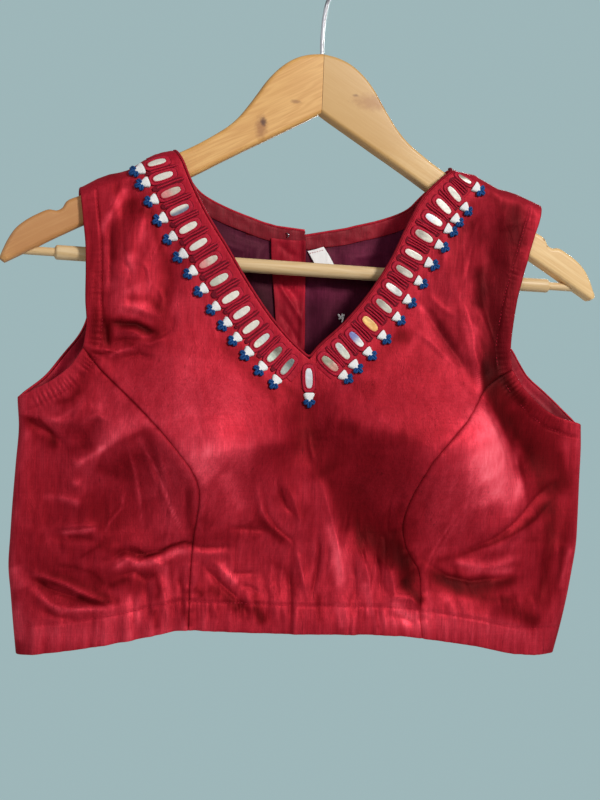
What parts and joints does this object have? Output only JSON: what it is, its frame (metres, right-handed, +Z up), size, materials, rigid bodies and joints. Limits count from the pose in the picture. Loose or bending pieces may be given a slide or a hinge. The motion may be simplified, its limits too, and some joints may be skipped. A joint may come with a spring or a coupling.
{
  "type": "choli blouse on a wooden hanger",
  "caption": "Sleeveless cropped choli blouse in red raw silk with a deep V neck edged in mirror work, hanging on a wooden hanger with a trouser bar and a chrome hook",
  "frame": {"origin": "seat of the hook: the point where the inside of its bend rests on a rail", "axes": "+Z up, -Y towards the front of the blouse, +X towards the viewer's right"},
  "size_m": [0.45, 0.0574, 0.5251],
  "materials": {
    "silk": "red raw silk, satin sheen, fine slubs",
    "lining": "thin dark maroon lining, smooth",
    "embroidery": "dense red thread work with white and blue thread",
    "mirror": "small polished mirror pieces",
    "label": "white woven tape, matte",
    "hanger_wood": "clear satin varnish on pine",
    "bar_wood": "clear satin varnish on pale wood",
    "chrome": "polished"
  },
  "bodies": {
    "root": {"armhole_facing_back_left": "silk", "armhole_facing_back_right": "silk", "armhole_facing_front_left": "silk", "armhole_facing_front_right": "silk", "back_left": "silk", "back_right": "silk", "border_left": "embroidery", "border_middle": "embroidery", "border_right": "embroidery", "front_centre": "silk", "front_side_left": "silk", "front_side_right": "silk", "hanger_arm_left": "hanger_wood", "hanger_arm_right": "hanger_wood", "hem_back_left": "silk", "hem_back_right": "silk", "hem_front": "silk", "hook": "chrome", "lining_back_left": "lining", "lining_back_right": "lining", "mirror_left_01": "mirror", "mirror_left_02": "mirror", "mirror_left_03": "mirror", "mirror_left_04": "mirror", "mirror_left_05": "mirror", "mirror_left_06": "mirror", "mirror_left_07": "mirror", "mirror_left_08": "mirror", "mirror_left_09": "mirror", "mirror_left_10": "mirror", "mirror_left_11": "mirror", "mirror_left_12": "mirror", "mirror_left_13": "mirror", "mirror_left_14": "mirror", "mirror_middle": "mirror", "mirror_right_01": "mirror", "mirror_right_02": "mirror", "mirror_right_03": "mirror", "mirror_right_04": "mirror", "mirror_right_05": "mirror", "mirror_right_06": "mirror", "mirror_right_07": "mirror", "mirror_right_08": "mirror", "mirror_right_09": "mirror", "mirror_right_10": "mirror", "mirror_right_11": "mirror", "mirror_right_12": "mirror", "mirror_right_13": "mirror", "neck_facing_left": "silk", "neck_facing_right": "silk", "neck_piping": "silk", "placket": "silk", "size_label": "label", "trouser_bar": "bar_wood"}
  },
  "joints": []
}
